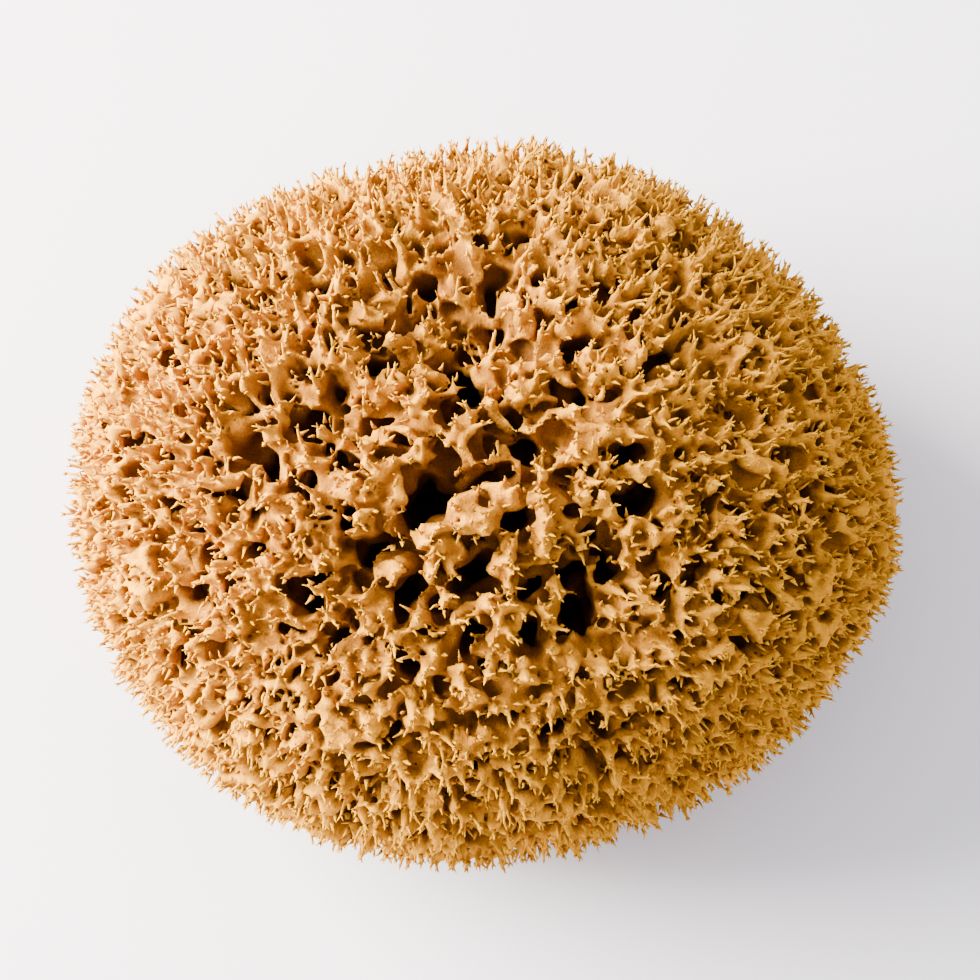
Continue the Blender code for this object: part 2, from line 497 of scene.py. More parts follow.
def mesh_of(name: str, points: Array, faces: Array) -> bpy.types.Mesh:
    """A mesh from an array of points and an array of faces that all have the same number of corners."""
    mesh = bpy.data.meshes.new(name)
    corners = faces.shape[1]
    mesh.vertices.add(len(points))
    mesh.vertices.foreach_set("co", np.ascontiguousarray(points, np.float32).ravel())
    mesh.loops.add(faces.size)
    mesh.loops.foreach_set("vertex_index", np.ascontiguousarray(faces, np.int32).ravel())
    mesh.polygons.add(len(faces))
    mesh.polygons.foreach_set("loop_start", np.arange(len(faces), dtype=np.int32) * corners)
    mesh.update(calc_edges=True)
    mesh.validate()
    return mesh


def strands(paths: Array, radii: Array, sides: int) -> tuple[Array, Array]:
    """Closed round strands, one for each path, all with the same number of rings.

    Formula: ring k of a strand is its path's point k plus radius k times cosine and sine of the turn, along two
    unit vectors at right angles to the path there. A cap point closes each end.

    Args:
        paths: Points, as strand by ring by coordinate.
        radii: Radii, as strand by ring.
        sides: How many sides each strand has.

    Returns:
        The points and the triangles, which face out.
    """
    count, rings = radii.shape
    tangents = unit(np.gradient(paths, axis=1))
    lean = unit(np.cross(tangents[:, :1], np.array([0.37, 0.61, 0.70])))
    first = unit(lean - tangents * (lean * tangents).sum(axis=2, keepdims=True))
    second = np.cross(tangents, first)
    turn = np.arange(sides) * (2 * math.pi / sides)
    ring = (first[:, :, None] * np.cos(turn)[:, None] + second[:, :, None] * np.sin(turn)[:, None])
    walls = paths[:, :, None] + ring * radii[:, :, None, None]
    points = np.concatenate([walls.reshape(count, -1, 3), paths[:, :1], paths[:, -1:]], axis=1)
    side = np.arange(sides)
    after = (side + 1) % sides
    faces = []
    for k in range(rings - 1):
        low, high = k * sides, (k + 1) * sides
        faces.append(np.stack([low + side, low + after, high + after], axis=1))
        faces.append(np.stack([low + side, high + after, high + side], axis=1))
    last = (rings - 1) * sides
    faces.append(np.stack([after, side, np.full(sides, rings * sides)], axis=1))
    faces.append(np.stack([last + side, last + after, np.full(sides, rings * sides + 1)], axis=1))
    one = np.concatenate(faces)
    offset = np.arange(count)[:, None, None] * (rings * sides + 2)
    return points.reshape(-1, 3), (one[None] + offset).reshape(-1, 3)


def thinned(points: Array, gap: float) -> Array:
    """Which of the points are kept, first come first kept, so that no two are nearer than the gap.

    Args:
        points: The points in order of worth.
        gap: The least distance.

    Returns:
        The indices of the kept points.
    """
    flat = points.astype(np.float32)
    free = np.ones(len(points), bool)
    kept = []
    for index in range(len(points)):
        if free[index]:
            kept.append(index)
            later = flat[index:]
            free[index:] &= ((later - flat[index]) ** 2).sum(axis=1) >= gap * gap
    return np.array(kept)


@dataclass(frozen=True)
class Growth:
    """What is carved out of the sponge: packed canals, windows between them, oscules and the pores of the foot."""

    envelope: Envelope
    mouths: CanalMouths
    step: float = FINE_STEP
    seed: int = 31
    lean: float = 0.08
    lowest_mouth: float = -0.006
    flare: tuple[float, float] = (0.0007, 0.0013)
    flare_reach: tuple[float, float] = (0.0050, 0.0075)
    crest: float = 0.0009
    crest_swell: float = 0.0005
    crest_length: float = 0.0050
    window_share: float = 0.30
    window_radius: tuple[float, float] = (0.0005, 0.0010)
    window_depth: tuple[float, float] = (0.0028, 0.0060)
    window_floor: float = 0.001
    unevenness: float = 0.00007
    unevenness_length: float = 0.0012
    bite_spacing: float = 0.00165
    bite_flare: tuple[float, float] = (0.00045, 0.00085)
    bite_length: tuple[float, float] = (0.0012, 0.0028)
    bite_core: float = 0.00015
    bite_rim: float = 0.0003
    bite_deepest: float = 0.0034
    bite_cell: float = 0.0008
    bite_upright: float = 0.6
    bite_fade: float = 1.4
    oscules: tuple[tuple[float, float, float, float], ...] = (
        (-0.0095, -0.0125, 0.0044, 0.030), (0.0162, 0.0051, 0.0036, 0.030), (-0.0055, 0.0180, 0.0040, 0.022),
        (-0.0160, -0.0340, 0.0026, 0.024), (-0.0212, -0.0225, 0.0030, 0.026), (-0.0128, -0.0290, 0.0020, 0.022),
        (-0.0010, -0.0280, 0.0029, 0.026), (0.0093, -0.0305, 0.0023, 0.022), (0.0180, -0.0285, 0.0029, 0.026),
        (0.0262, -0.0145, 0.0026, 0.024), (0.0214, -0.0200, 0.0020, 0.022), (-0.0075, -0.0375, 0.0022, 0.020),
        (-0.0024, -0.0430, 0.0024, 0.020), (0.0204, -0.0413, 0.0032, 0.024), (0.0266, -0.0276, 0.0023, 0.022),
        (0.0376, -0.0325, 0.0026, 0.020), (0.0110, -0.0458, 0.0022, 0.018), (0.0060, -0.0152, 0.0023, 0.022),
        (-0.0380, -0.0340, 0.0028, 0.016), (-0.0334, 0.0021, 0.0032, 0.018), (0.0306, -0.0122, 0.0026, 0.018),
        (0.0074, -0.0030, 0.0030, 0.018), (0.0274, -0.0040, 0.0026, 0.016), (-0.0430, -0.0050, 0.0026, 0.014),
    )
    flank_oscules: tuple[tuple[float, float, float, float], ...] = (
        (20.0, 0.044, 0.0036, 0.016), (75.0, 0.050, 0.0034, 0.016), (118.0, 0.036, 0.0042, 0.018),
        (160.0, 0.046, 0.0034, 0.015), (205.0, 0.030, 0.0036, 0.016), (252.0, 0.040, 0.0034, 0.014),
        (300.0, 0.028, 0.0038, 0.016), (340.0, 0.034, 0.0032, 0.014),
    )
    foot_pores: tuple[tuple[float, float, float], ...] = (
        (10.0, 0.45, 0.0044), (78.0, 0.52, 0.0036), (140.0, 0.40, 0.0050), (198.0, 0.62, 0.0034),
        (245.0, 0.38, 0.0042), (305.0, 0.58, 0.0046),
    )
    foot_reach: float = 0.042
    foot_rim: float = 0.001
    oscule_flare: float = 0.0004
    oscule_flare_reach: float = 0.004
    oscule_rim: float = 0.0008

    def grow(self) -> tuple[FibreField, Array]:
        """Works out the field.

        Returns:
            The field, and the unit directions of the places where three walls meet.
        """
        fibre = FibreField(self.envelope, step=self.step)
        rng = np.random.default_rng(self.seed)
        swell = fibre.noise(rng, self.crest_length) * np.float32(self.crest_swell)
        fibre.values = fibre.depth - np.float32(self.crest) - np.abs(swell)
        directions, radii, lengths = self.mouths.packed()
        meetings, pairs = self.mouths.gaps(directions, radii)
        self.carve_canals(fibre, directions, radii, lengths, rng)
        self.carve_windows(fibre, directions, pairs, rng)
        self.carve_oscules(fibre)
        self.bite_rims(fibre, rng)
        fibre.values += fibre.noise(rng, self.unevenness_length) * np.float32(self.unevenness)
        fibre.values = np.minimum(fibre.values, fibre.axes[2][None, None, :])
        return fibre, meetings

    def carve_canals(self, fibre: FibreField, directions: Array, radii: Array, lengths: Array,
                     rng: np.random.Generator) -> None:
        """Carves a canal down from every mouth, a little off its own normal."""
        outward = self.envelope.outward(directions)
        starts = self.envelope.point(directions)
        lean = unit(outward + rng.normal(scale=self.lean, size=outward.shape))
        flares = rng.uniform(*self.flare, size=len(radii))
        reaches = rng.uniform(*self.flare_reach, size=len(radii))
        for start, axis, radius, length, flare, reach in zip(starts, lean, radii, lengths, flares, reaches):
            if start[2] > self.lowest_mouth:
                fibre.carve(start, -axis, radius, length, flare, reach)

    def carve_windows(self, fibre: FibreField, directions: Array, pairs: Array, rng: np.random.Generator) -> None:
        """Opens round windows through some of the walls between neighbouring canals."""
        kept = pairs[rng.random(len(pairs)) < self.window_share]
        middle = unit(directions[kept].sum(axis=1))
        deep = rng.uniform(*self.window_depth, size=(len(kept), 1))
        spots = self.envelope.point(middle) - self.envelope.outward(middle) * deep
        for spot, radius in zip(spots, rng.uniform(*self.window_radius, size=len(kept))):
            if spot[2] > self.window_floor:
                fibre.carve_ball(spot, radius)

    def bite_rims(self, fibre: FibreField, rng: np.random.Generator) -> None:
        """Carves short grooves side by side down the upright walls near the skin, which leaves points between."""
        spots = fibre.skin(rng, self.crest, self.bite_deepest, self.bite_cell)
        envelope = self.envelope
        directions = unit(spots - envelope.centre)
        outward = envelope.outward(directions)
        upright = np.abs((fibre.slope(fibre.values, spots) * outward).sum(axis=1)) < self.bite_upright
        spots, outward = spots[upright], outward[upright]
        kept = thinned(spots, self.bite_spacing)
        spots, outward = spots[kept], outward[kept]
        radius, away = envelope.reach(*(spots - envelope.centre).T)
        deep = radius - away
        flares = rng.uniform(*self.bite_flare, size=len(spots))
        lengths = deep + rng.uniform(*self.bite_length, size=len(spots))
        starts = spots + outward * deep[:, None]
        for start, axis, flare, length in zip(starts, outward, flares, lengths):
            fibre.carve(start, -axis, self.bite_core, length, flare, length * self.bite_fade, self.bite_rim, True)
        LOG.info("%d grooves", len(spots))

    def carve_oscules(self, fibre: FibreField) -> None:
        """Carves the wide holes of the top and flanks and the pores that the cut foot lays open."""
        for x, y, radius, deep in self.oscules:
            self.carve_oscule(fibre, self.envelope.over(x, y), radius, deep)
        for degrees, height, radius, deep in self.flank_oscules:
            angle = math.radians(degrees)
            aim = unit(np.array([[
                math.cos(angle) * self.envelope.width / 2,
                math.sin(angle) * self.envelope.depth / 2,
                height - self.envelope.widest,
            ]]))
            self.carve_oscule(fibre, aim, radius, deep)
        for degrees, share, radius in self.foot_pores:
            angle = math.radians(degrees)
            spot = np.array([math.cos(angle), math.sin(angle), 0.0]) * share * self.foot_reach
            fibre.carve_ball(spot, radius, self.foot_rim)

    def carve_oscule(self, fibre: FibreField, aim: Array, radius: float, deep: float) -> None:
        """Carves one wide hole in along the envelope's normal.

        Args:
            fibre: The field.
            aim: The unit direction of its mouth from the centre, as one row.
            radius: Its radius.
            deep: How deep it goes.
        """
        spot, inward = self.envelope.point(aim)[0], -self.envelope.outward(aim)[0]
        fibre.carve(spot, inward, radius, deep, self.oscule_flare, self.oscule_flare_reach, self.oscule_rim)


@dataclass
class Spires:
    """The points in which the walls end where three canals meet: tapered spires that split into prongs."""

    fibre: FibreField
    meetings: Array
    seed: int = 5
    depths: tuple[float, ...] = (0.0046, 0.0040, 0.0034, 0.0028, 0.0022, 0.0016)
    solid: float = 0.00016
    spacing: float = 0.0017
    over: tuple[float, float] = (-0.0008, 0.0007)
    base: tuple[float, float] = (0.00048, 0.00070)
    tip: tuple[float, float] = (0.00016, 0.00022)
    fillet: float = 0.0011
    rings: tuple[float, ...] = (-0.35, 0.0, 0.3, 0.62, 1.0)
    prong_length: tuple[float, float] = (0.0005, 0.0009)
    prong_slant: tuple[float, float] = (0.3, 1.4)
    prong_root: float = 0.00016
    prong_taper: tuple[float, ...] = (1.3, 0.85, 0.30)
    lean: float = 0.17
    bend: float = 0.15
    shortest: float = 0.0010
    taper: float = 1.3
    climbs: int = 6
    climb: float = 0.00025
    root_floor: float = 0.0018
    floor: float = 0.0015
    paths: Array = field(default_factory=lambda: np.zeros((0, 5, 3)))
    radii: Array = field(default_factory=lambda: np.zeros((0, 5)))

    def __post_init__(self) -> None:
        """Chooses where the spires stand and works out their lines and radii."""
        rng = np.random.default_rng(self.seed)
        root, outward, deep, thick = self.roots()
        order = np.argsort(deep * 0.3 - thick + rng.random(len(thick)) * 0.0003)
        kept = order[thinned(root[order], self.spacing)]
        root, outward, deep = root[kept], outward[kept], deep[kept]
        count = len(root)
        axis = unit(outward + rng.normal(scale=self.lean, size=root.shape))
        length = np.maximum(deep + rng.uniform(*self.over, size=count), self.shortest)
        base = rng.uniform(*self.base, size=count)
        tip = rng.uniform(*self.tip, size=count)
        bend = rng.normal(scale=self.bend, size=root.shape)
        bend -= axis * (bend * axis).sum(axis=1, keepdims=True)
        share = np.array(self.rings)
        climb = share[:, None] * axis[:, None] + (share[:, None] ** 2) * bend[:, None]
        self.paths = root[:, None] + length[:, None, None] * climb
        taper = (1 - np.clip(share, 0, 1)) ** self.taper
        self.radii = tip[:, None] + (base - tip)[:, None] * taper
        clear = self.paths[:, :, 2].min(axis=1) > self.floor
        self.paths, self.radii = self.paths[clear], self.radii[clear]
        LOG.info("%d spires", len(self.paths))

    def roots(self) -> tuple[Array, Array, Array, Array]:
        """Follows each meeting of three walls up through the field to where it gets thin.

        Formula: at each depth the point climbs the field's slope across the outward direction, so it stays on the
        crest, and the field's value there is the radius that fits in the wall.

        Returns:
            The roots, the outward directions, the depths and the wall's radius at each root.
        """
        envelope = self.fibre.envelope
        outward = envelope.outward(self.meetings)
        spots = envelope.point(self.meetings) - outward * self.depths[0]
        root = spots.copy()
        thick = np.full(len(spots), -1.0)
        deep = np.full(len(spots), self.depths[0])
        h = self.fibre.step
        for index, depth in enumerate(self.depths):
            for _ in range(self.climbs):
                slope = np.stack([
                    self.fibre.sample(self.fibre.values, spots + h * axis)
                    - self.fibre.sample(self.fibre.values, spots - h * axis)
                    for axis in np.eye(3)
                ], axis=1) / (2 * h)
                slope -= outward * (slope * outward).sum(axis=1, keepdims=True)
                spots = spots + slope * self.climb
            value = self.fibre.sample(self.fibre.values, spots)
            found = value > self.solid
            root[found], thick[found], deep[found] = spots[found], value[found], depth
            if index + 1 < len(self.depths):
                spots = spots + outward * (depth - self.depths[index + 1])
        good = (thick > self.solid) & (root[:, 2] > self.root_floor)
        return root[good], outward[good], deep[good], thick[good]

    def blend_in(self) -> None:
        """Raises each spire in the field too, so that the walls sweep up into it with a wide fillet."""
        for path, radius in zip(self.paths, self.radii):
            self.fibre.raise_line(path, radius * 1.02, self.fillet)

    def sweep(self) -> tuple[Array, Array]:
        """The spires as strands."""
        return strands(self.paths[:, 1:], self.radii[:, 1:], 5)

    def prongs(self) -> tuple[Array, Array]:
        """Two or three prongs that leave the end of each spire at a slant, like a small antler."""
        rng = np.random.default_rng(self.seed + 1)
        ends = self.paths[:, -1]
        ahead = unit(ends - self.paths[:, -2])
        side = unit(np.cross(ahead, unit(rng.normal(size=ahead.shape))))
        other = np.cross(ahead, side)
        number = rng.integers(2, 4, size=len(ends))
        owner = np.repeat(np.arange(len(ends)), number)
        nth = np.arange(len(owner)) - np.repeat(np.cumsum(number) - number, number)
        turn = 2 * math.pi * nth / number[owner] + rng.uniform(-0.5, 0.5, len(owner))
        away = side[owner] * np.cos(turn)[:, None] + other[owner] * np.sin(turn)[:, None]
        slant = rng.uniform(*self.prong_slant, size=(len(owner), 1))
        aim = unit(ahead[owner] + slant * away)
        length = rng.uniform(*self.prong_length, size=(len(owner), 1, 1))
        share = np.array([0.0, 0.5, 1.0])[:, None]
        back = ends[owner] - ahead[owner] * self.prong_root
        lines = back[:, None] + length * (share * aim[:, None] + share**2 * 0.3 * ahead[owner][:, None])
        radii = self.radii[owner, -1:] * np.array(self.prong_taper)
        return strands(lines, radii, 3)


@dataclass(frozen=True)
class Thorns:
    """Short, cone-shaped points on the rims of the walls."""

    fibre: FibreField
    seed: int = 17
    spacing: float = 0.0020
    width: float = 0.0006
    thin: tuple[float, float] = (0.06, 0.24)
    length: tuple[float, float] = (0.0006, 0.0018)
    base: tuple[float, float] = (0.00036, 0.00060)
    floor: float = 0.0007
    depths: tuple[float, float] = (0.0004, 0.0042)
    cell: float = 0.0007
    rise: float = 0.8
    lean: float = 0.15
    curl: float = 0.18
    along: tuple[float, ...] = (-0.25, 0.4, 1.0)
    taper: tuple[float, ...] = (1.0, 0.50, 0.13)

    def sweep(self) -> tuple[Array, Array]:
        """Finds the rims, where there is least fibre round a point of the surface, and sweeps a thorn on each.

        Formula: a thorn leans from the thick side of the rim to the thin, which is down the slope of the share
        of fibre, and a little outward.

        Returns:
            Points and triangles.
        """
        rng = np.random.default_rng(self.seed)
        share = self.fibre.blurred(self.width)
        spots = self.fibre.skin(rng, *self.depths, self.cell)
        about = self.fibre.sample(share, spots)
        rim = (about > self.thin[0]) & (about < self.thin[1])
        spots, about = spots[rim], about[rim]
        order = np.argsort(about + 0.05 * rng.random(len(about)))
        spots = spots[order][thinned(spots[order], self.spacing)]
        envelope = self.fibre.envelope
        outward = envelope.outward(unit(spots - envelope.centre))
        lean = -self.fibre.slope(share, spots)
        aim = unit(lean + self.rise * outward + rng.normal(scale=self.lean, size=spots.shape))
        count = len(spots)
        length = rng.uniform(*self.length, size=(count, 1, 1))
        along = np.array(self.along)[:, None]
        curl = rng.normal(scale=self.curl, size=spots.shape)
        paths = spots[:, None] + length * (along * aim[:, None] + along**2 * curl[:, None])
        radii = rng.uniform(*self.base, size=(count, 1)) * np.array(self.taper)
        clear = paths[:, :, 2].min(axis=1) > self.floor
        paths, radii = paths[clear], radii[clear]
        LOG.info("%d thorns", len(paths))
        return strands(paths, radii, 3)


class Part(Enum):
    """The closed parts that the fibre body is meshed in. Each value is its share of the triangles."""

    CROWN = 1.0
    FRONT = 0.97
    BACK = 0.96


@dataclass(frozen=True)
class FibreBody:
    """The fibre body, meshed as closed parts that overlap by less than a voxel inside the fibre."""

    fibre: FibreField
    most: int = 190000
    crown_radius: float = 0.050
    crown_foot: float = 0.036
    lap: float = 0.0003

    def bound(self, part: Part) -> Array:
        """A field that is positive inside one part's share of space."""
        x, y, z = (axis.reshape([-1 if j == i else 1 for j in range(3)]) for i, axis in enumerate(self.fibre.axes))
        crown = np.minimum(self.crown_radius - np.hypot(x, y), z - self.crown_foot)
        if part is Part.CROWN:
            return crown + self.lap
        side = -y if part is Part.FRONT else y
        return np.minimum(self.lap - crown, side + self.lap)

    def mesh(self, part: Part, thin_out: bool) -> bpy.types.Mesh:
        """One part's surface, with its triangles thinned out where it is smooth.

        Args:
            part: Which part.
            thin_out: Whether the triangles are thinned out.

        Returns:
            The mesh.
        """
        grid = np.minimum(self.fibre.values, self.bound(part))
        low = np.array([axis[0] for axis in self.fibre.axes])
        mesh = mesh_of(part.name.lower(), *level_surface(grid, low, self.fibre.step))
        if not thin_out:
            return mesh
        rough = bpy.data.objects.new("rough", mesh)
        bpy.context.scene.collection.objects.link(rough)
        fewer = rough.modifiers.new("fewer", "DECIMATE")
        fewer.ratio = min(1.0, self.most * part.value / (2 * len(mesh.polygons)))
        depsgraph = bpy.context.evaluated_depsgraph_get()
        done = bpy.data.meshes.new_from_object(rough.evaluated_get(depsgraph))
        bpy.data.objects.remove(rough)
        bpy.data.meshes.remove(mesh)
        return done


@dataclass(frozen=True)
class FibreFinish:
    """The dry fibre: pale and golden at the tips, browner down in the canals and darkened there with painted shade,
    with a dull, grainy skin.
    """

    tip: tuple[float, float, float] = (0.57, 0.252, 0.008)
    wall: tuple[float, float, float] = (0.50, 0.200, 0.005)
    # The colours down the canals: browner with the fibre's own deeper tone, and darker towards near black as painted
    # shade of the canals.
    hollow_tone_and_shade: tuple[float, float, float] = (0.38, 0.140, 0.006)
    low: tuple[float, float, float] = (0.24, 0.080, 0.006)
    deep: tuple[float, float, float] = (0.07, 0.021, 0.002)
    spread: tuple[float, float, float] = (1.0, 0.55, 0.15)
    spread_scale: float = 0.0012
    roughness: float = 0.8
    shine: float = 0.06
    bump: float = 0.5
    bump_height: float = 0.0004
    # The middle from which facing is measured for the painted light and shade.
    heart: tuple[float, float, float] = (0.0, 0.0, 0.03)
    patches: tuple[float, float] = (55, 3)
    grains: tuple[float, float] = (2400, 3)
    streaks: tuple[float, float] = (130, 2)
    patch_depth: tuple[float, float, float, float] = (0.25, 0.75, -0.0016, 0.0016)
    ramp_depth: tuple[float, float, float, float] = (0.0005, 0.0150, 0.0, 1.0)
    rim_share: tuple[float, float, float, float] = (0.16, 0.50, 1.0, 0.0)
    rim_depth: tuple[float, float, float, float] = (0.003, 0.012, 1.0, 0.0)
    speckle: tuple[float, float, float, float] = (0.3, 0.7, 0.84, 1.12)
    # Painted shade where much fibre crowds round a place, and painted light and shade by which way the surface
    # faces.
    shade_share: tuple[float, float, float, float] = (0.38, 0.68, 1.0, 0.44)
    shade_facing: tuple[float, float, float, float] = (-0.1, 0.75, 0.66, 1.12)
    streak_shade: tuple[float, float, float, float] = (0.3, 0.7, 0.84, 1.10)

    def colour_group(self) -> bpy.types.ShaderNodeTree:
        """The colour by depth, by thinness and by which way the surface faces, shared by the walls and the tips,
        with painted shade deep in the canals and where fibre crowds round, and painted light and shade by facing.

        Returns:
            A group that takes depth in metres, the share of fibre round the place, the place and the normal, and
            gives a colour and a height.
        """
        group = bpy.data.node_groups.new("fibre colour and painted shade", "ShaderNodeTree")
        for name, way, kind in (
            ("Depth", "INPUT", "Float"), ("Share", "INPUT", "Float"), ("Place", "INPUT", "Vector"),
            ("Normal", "INPUT", "Vector"), ("Colour", "OUTPUT", "Color"), ("Height", "OUTPUT", "Float"),
        ):
            group.interface.new_socket(name, in_out=way, socket_type=f"NodeSocket{kind}")
        nodes, links = group.nodes, group.links
        given = nodes.new("NodeGroupInput").outputs
        result = nodes.new("NodeGroupOutput").inputs

        def noise(scale: float, detail: float, place: bpy.types.NodeSocket) -> bpy.types.NodeSocket:
            """Noise at a place: so many swells to the unit, with so many finer layers."""
            node = nodes.new("ShaderNodeTexNoise")
            node.inputs["Scale"].default_value = scale
            node.inputs["Detail"].default_value = detail
            links.new(place, node.inputs["Vector"])
            return node.outputs["Fac"]

        def spread(source: bpy.types.NodeSocket, limits: tuple[float, float, float, float]) -> bpy.types.NodeSocket:
            """A value carried from the first two limits onto the last two, and held between them."""
            node = nodes.new("ShaderNodeMapRange")
            for name, value in zip(("From Min", "From Max", "To Min", "To Max"), limits):
                node.inputs[name].default_value = value
            links.new(source, node.inputs["Value"])
            return node.outputs["Result"]

        def joined(kind: str, first: bpy.types.NodeSocket, second: bpy.types.NodeSocket) -> bpy.types.NodeSocket:
            """Two values added or multiplied."""
            node = nodes.new("ShaderNodeMath")
            node.operation = kind
            links.new(first, node.inputs[0])
            links.new(second, node.inputs[1])
            return node.outputs[0]

        def vector(kind: str, source: bpy.types.NodeSocket) -> bpy.types.Node:
            """A vector node of a kind, with its first input filled."""
            node = nodes.new("ShaderNodeVectorMath")
            node.operation = kind
            links.new(source, node.inputs[0])
            return node

        def mixed(kind: str, first: bpy.types.NodeSocket) -> bpy.types.Node:
            """A colour mix of a kind, all the way to its second colour, with its first filled."""
            node = nodes.new("ShaderNodeMix")
            node.data_type = "RGBA"
            node.blend_type = kind
            node.inputs[0].default_value = 1.0
            links.new(first, node.inputs[6])
            return node

        # Painted light and shade by facing: surfaces facing out from the heart are paler, those facing sideways
        # browner, in place of the light that reaches them.
        ray = vector("SUBTRACT", given["Place"])
        ray.inputs[1].default_value = self.heart
        away = vector("NORMALIZE", ray.outputs["Vector"]).outputs["Vector"]
        facing = vector("DOT_PRODUCT", away)
        links.new(given["Normal"], facing.inputs[1])
        patches = noise(*self.patches, given["Place"])
        grain = noise(*self.grains, given["Place"])
        streaks = noise(*self.streaks, away)
        # The ramp darkens with depth under the envelope: the fibre's own browner tone, and painted shade down in the
        # canals.
        ramp = nodes.new("ShaderNodeValToRGB")
        ramp.color_ramp.interpolation = "EASE"
        stops = ((0.0, self.wall), (0.30, self.hollow_tone_and_shade), (0.60, self.low), (1.0, self.deep))
        for _ in range(len(stops) - 2):
            ramp.color_ramp.elements.new(0.5)
        for element, (place, colour) in zip(ramp.color_ramp.elements, stops):
            element.position = place
            element.color = (*colour, 1.0)
        sunk = joined("ADD", given["Depth"], spread(patches, self.patch_depth))
        links.new(spread(sunk, self.ramp_depth), ramp.inputs["Fac"])
        pale = mixed("MIX", ramp.outputs["Color"])
        pale.inputs[7].default_value = (*self.tip, 1.0)
        rim = joined("MULTIPLY", spread(given["Share"], self.rim_share), spread(given["Depth"], self.rim_depth))
        links.new(rim, pale.inputs[0])
        speckle = mixed("MULTIPLY", pale.outputs[2])
        links.new(spread(grain, self.speckle), speckle.inputs[7])
        # Painted shade where fibre crowds round the place, times the painted light and shade by facing, times the
        # streaks of the fibre.
        shade = mixed("MULTIPLY", speckle.outputs[2])
        painted_light_and_shade = joined("MULTIPLY", spread(given["Share"], self.shade_share),
                        spread(facing.outputs["Value"], self.shade_facing))
        links.new(joined("MULTIPLY", painted_light_and_shade, spread(streaks, self.streak_shade)), shade.inputs[7])
        links.new(shade.outputs[2], result["Colour"])
        links.new(joined("ADD", grain, streaks), result["Height"])
        return group

    def material(self, name: str, group: bpy.types.ShaderNodeTree, glow: float) -> bpy.types.Material:
        """One finish for a kind of piece.

        Args:
            name: The material's name.
            group: The shared colour group.
            glow: How much of its light spreads under its skin.

        Returns:
            The material.
        """
        made = bpy.data.materials.new(name)
        made.use_nodes = True
        nodes, links = made.node_tree.nodes, made.node_tree.links
        surface = nodes["Principled BSDF"]
        surface.inputs["Roughness"].default_value = self.roughness
        surface.inputs["Specular IOR Level"].default_value = self.shine
        surface.inputs["Subsurface Weight"].default_value = glow
        surface.inputs["Subsurface Radius"].default_value = self.spread
        surface.inputs["Subsurface Scale"].default_value = self.spread_scale
        colour = nodes.new("ShaderNodeGroup")
        colour.node_tree = group
        for attribute, socket in (("depth", "Depth"), ("share", "Share")):
            read = nodes.new("ShaderNodeAttribute")
            read.attribute_name = attribute
            links.new(read.outputs["Fac"], colour.inputs[socket])
        place = nodes.new("ShaderNodeTexCoord")
        links.new(place.outputs["Object"], colour.inputs["Place"])
        links.new(place.outputs["Normal"], colour.inputs["Normal"])
        links.new(colour.outputs["Colour"], surface.inputs["Base Color"])
        bump = nodes.new("ShaderNodeBump")
        bump.inputs["Strength"].default_value = self.bump
        bump.inputs["Distance"].default_value = self.bump_height
        links.new(colour.outputs["Height"], bump.inputs["Height"])
        links.new(bump.outputs["Normal"], surface.inputs["Normal"])
        return made


@dataclass
class Dresser:
    """Turns arrays into finished pieces that ride with the sponge and stand in for its solid."""

    fibre: FibreField
    rim_width: float = 0.0010
    share: Array = field(default_factory=lambda: np.zeros(0))

    def __post_init__(self) -> None:
        """Works out how much fibre there is round each voxel, which is little at a rim or a tip."""
        self.share = self.fibre.blurred(self.rim_width)

    def piece(self, name: str, mesh: bpy.types.Mesh, material: bpy.types.Material) -> bpy.types.Object:
        """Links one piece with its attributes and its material.

        Args:
            name: The piece's name.
            mesh: Its surface.
            material: Its finish.

        Returns:
            The object.
        """
        mesh.name = name
        mesh.polygons.foreach_set("use_smooth", np.ones(len(mesh.polygons), bool))
        mesh.materials.append(material)
        thing = bpy.data.objects.new(name, mesh)
        bpy.context.scene.collection.objects.link(thing)
        self.measure(mesh)
        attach(thing, "root")
        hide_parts(NODE)
        LOG.info("%s: %d triangles", name, sum(len(p.vertices) - 2 for p in mesh.polygons))
        return thing

    def measure(self, mesh: bpy.types.Mesh) -> None:
        """Writes how far each point lies under the envelope, and how much fibre there is round it."""
        flat = np.empty(len(mesh.vertices) * 3, np.float32)
        mesh.vertices.foreach_get("co", flat)
        points = flat.reshape(-1, 3).astype(float)
        radius, away = self.fibre.envelope.reach(*(points - self.fibre.envelope.centre).T)
        for name, values in (("depth", radius - away), ("share", self.fibre.sample(self.share, points))):
            layer = mesh.attributes.new(name, "FLOAT", "POINT")
            layer.data.foreach_set("value", values.astype(np.float32))


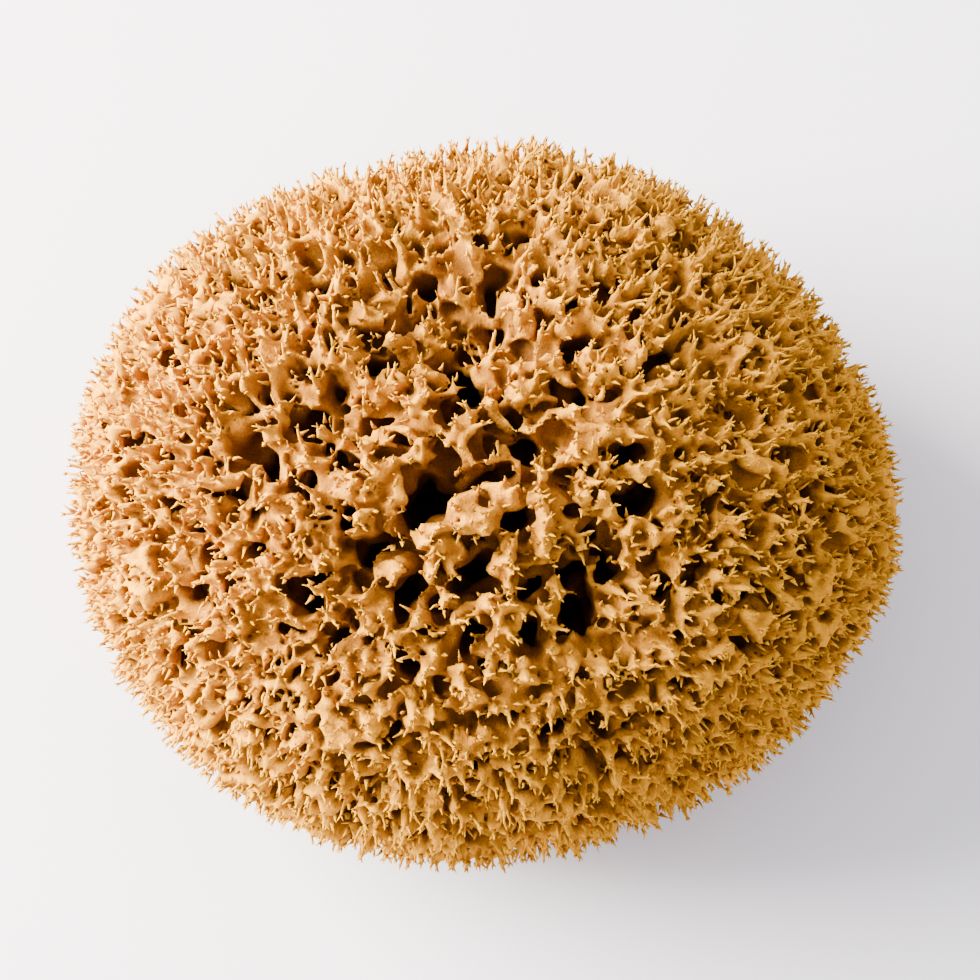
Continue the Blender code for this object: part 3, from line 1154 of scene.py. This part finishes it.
@dataclass(frozen=True)
class Studio:
    """A pale floor, one broad window light low on the left, and the room's own soft light."""

    floor_half: float = 3.0
    floor_colour: tuple[float, float, float] = (0.75, 0.72, 0.74)
    window_size: float = 0.75
    window_power: float = 155.0
    window_place: tuple[float, float, float] = (-0.81, 0.24, 0.34)
    window_colour: tuple[float, float, float] = (1.0, 0.96, 0.89)
    room_colour: tuple[float, float, float] = (0.95, 0.95, 1.05)
    room_light: float = 1.75

    def build(self) -> None:
        """Makes the floor, the window light and the room's light."""
        half = self.floor_half
        corners = np.array([[-half, -half, 0], [half, -half, 0], [half, half, 0], [-half, half, 0]])
        mesh = mesh_of("floor", corners, np.array([[0, 1, 2, 3]]))
        floor = bpy.data.objects.new("floor", mesh)
        bpy.context.scene.collection.objects.link(floor)
        paint = bpy.data.materials.new("floor")
        paint.use_nodes = True
        surface = paint.node_tree.nodes["Principled BSDF"]
        surface.inputs["Base Color"].default_value = (*self.floor_colour, 1)
        surface.inputs["Roughness"].default_value = 0.9
        mesh.materials.append(paint)
        light = bpy.data.lights.new("window", "AREA")
        light.shape = "SQUARE"
        light.size = self.window_size
        light.energy = self.window_power
        light.color = self.window_colour
        window = bpy.data.objects.new("window", light)
        window.location = self.window_place
        window.rotation_mode = "QUATERNION"
        window.rotation_quaternion = (Vector((0, 0, 0.03)) - window.location).to_track_quat("-Z", "Y")
        bpy.context.scene.collection.objects.link(window)
        world = bpy.data.worlds.new("room")
        bpy.context.scene.world = world
        world.use_nodes = True
        sky = world.node_tree.nodes["Background"]
        sky.inputs["Color"].default_value = (*self.room_colour, 1)
        sky.inputs["Strength"].default_value = self.room_light


@dataclass(frozen=True)
class Eye:
    """The camera, high over the front and looking down at the crown."""

    elevation: float = 73.0
    distance: float = 0.50
    target: tuple[float, float, float] = (0.0016, 0.0015, 0.0327)
    lens: float = 106.6
    sensor: float = 36.0

    def build(self) -> None:
        """Makes the camera and gives it to the scene."""
        data = bpy.data.cameras.new("camera")
        data.lens = self.lens
        data.sensor_width = self.sensor
        data.clip_start = 0.01
        camera = bpy.data.objects.new("camera", data)
        bpy.context.scene.collection.objects.link(camera)
        lift = math.radians(self.elevation)
        back = Vector((0, -math.cos(lift), math.sin(lift)))
        camera.location = Vector(self.target) + back * self.distance
        camera.rotation_mode = "QUATERNION"
        camera.rotation_quaternion = (-back).to_track_quat("-Z", "Y")
        bpy.context.scene.camera = camera


def main() -> None:
    """Builds the sponge, the floor, the light and the camera, and reports each piece."""
    logging.basicConfig(level=logging.INFO, format="%(name)s: %(message)s")
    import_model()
    envelope = Envelope()
    growth = Growth(envelope, CanalMouths(envelope), step=FINE_STEP)
    fibre, meetings = growth.grow()
    spires = Spires(fibre, meetings)
    spires.blend_in()
    finish = FibreFinish()
    group = finish.colour_group()
    fibre_wall = finish.material("fibre wall", group, GLOW)
    fibre_tip = finish.material("fibre tip", group, GLOW)
    dresser = Dresser(fibre)
    body = FibreBody(fibre)
    for part in Part:
        dresser.piece(f"sponge_{part.name.lower()}", body.mesh(part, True), fibre_wall)
    dresser.piece("sponge_spires", mesh_of("spires", *spires.sweep()), fibre_tip)
    dresser.piece("sponge_prongs", mesh_of("prongs", *spires.prongs()), fibre_tip)
    dresser.piece("sponge_thorns", mesh_of("thorns", *Thorns(fibre).sweep()), fibre_tip)
    Studio().build()
    Eye().build()


if __name__ == "__main__":
    main()
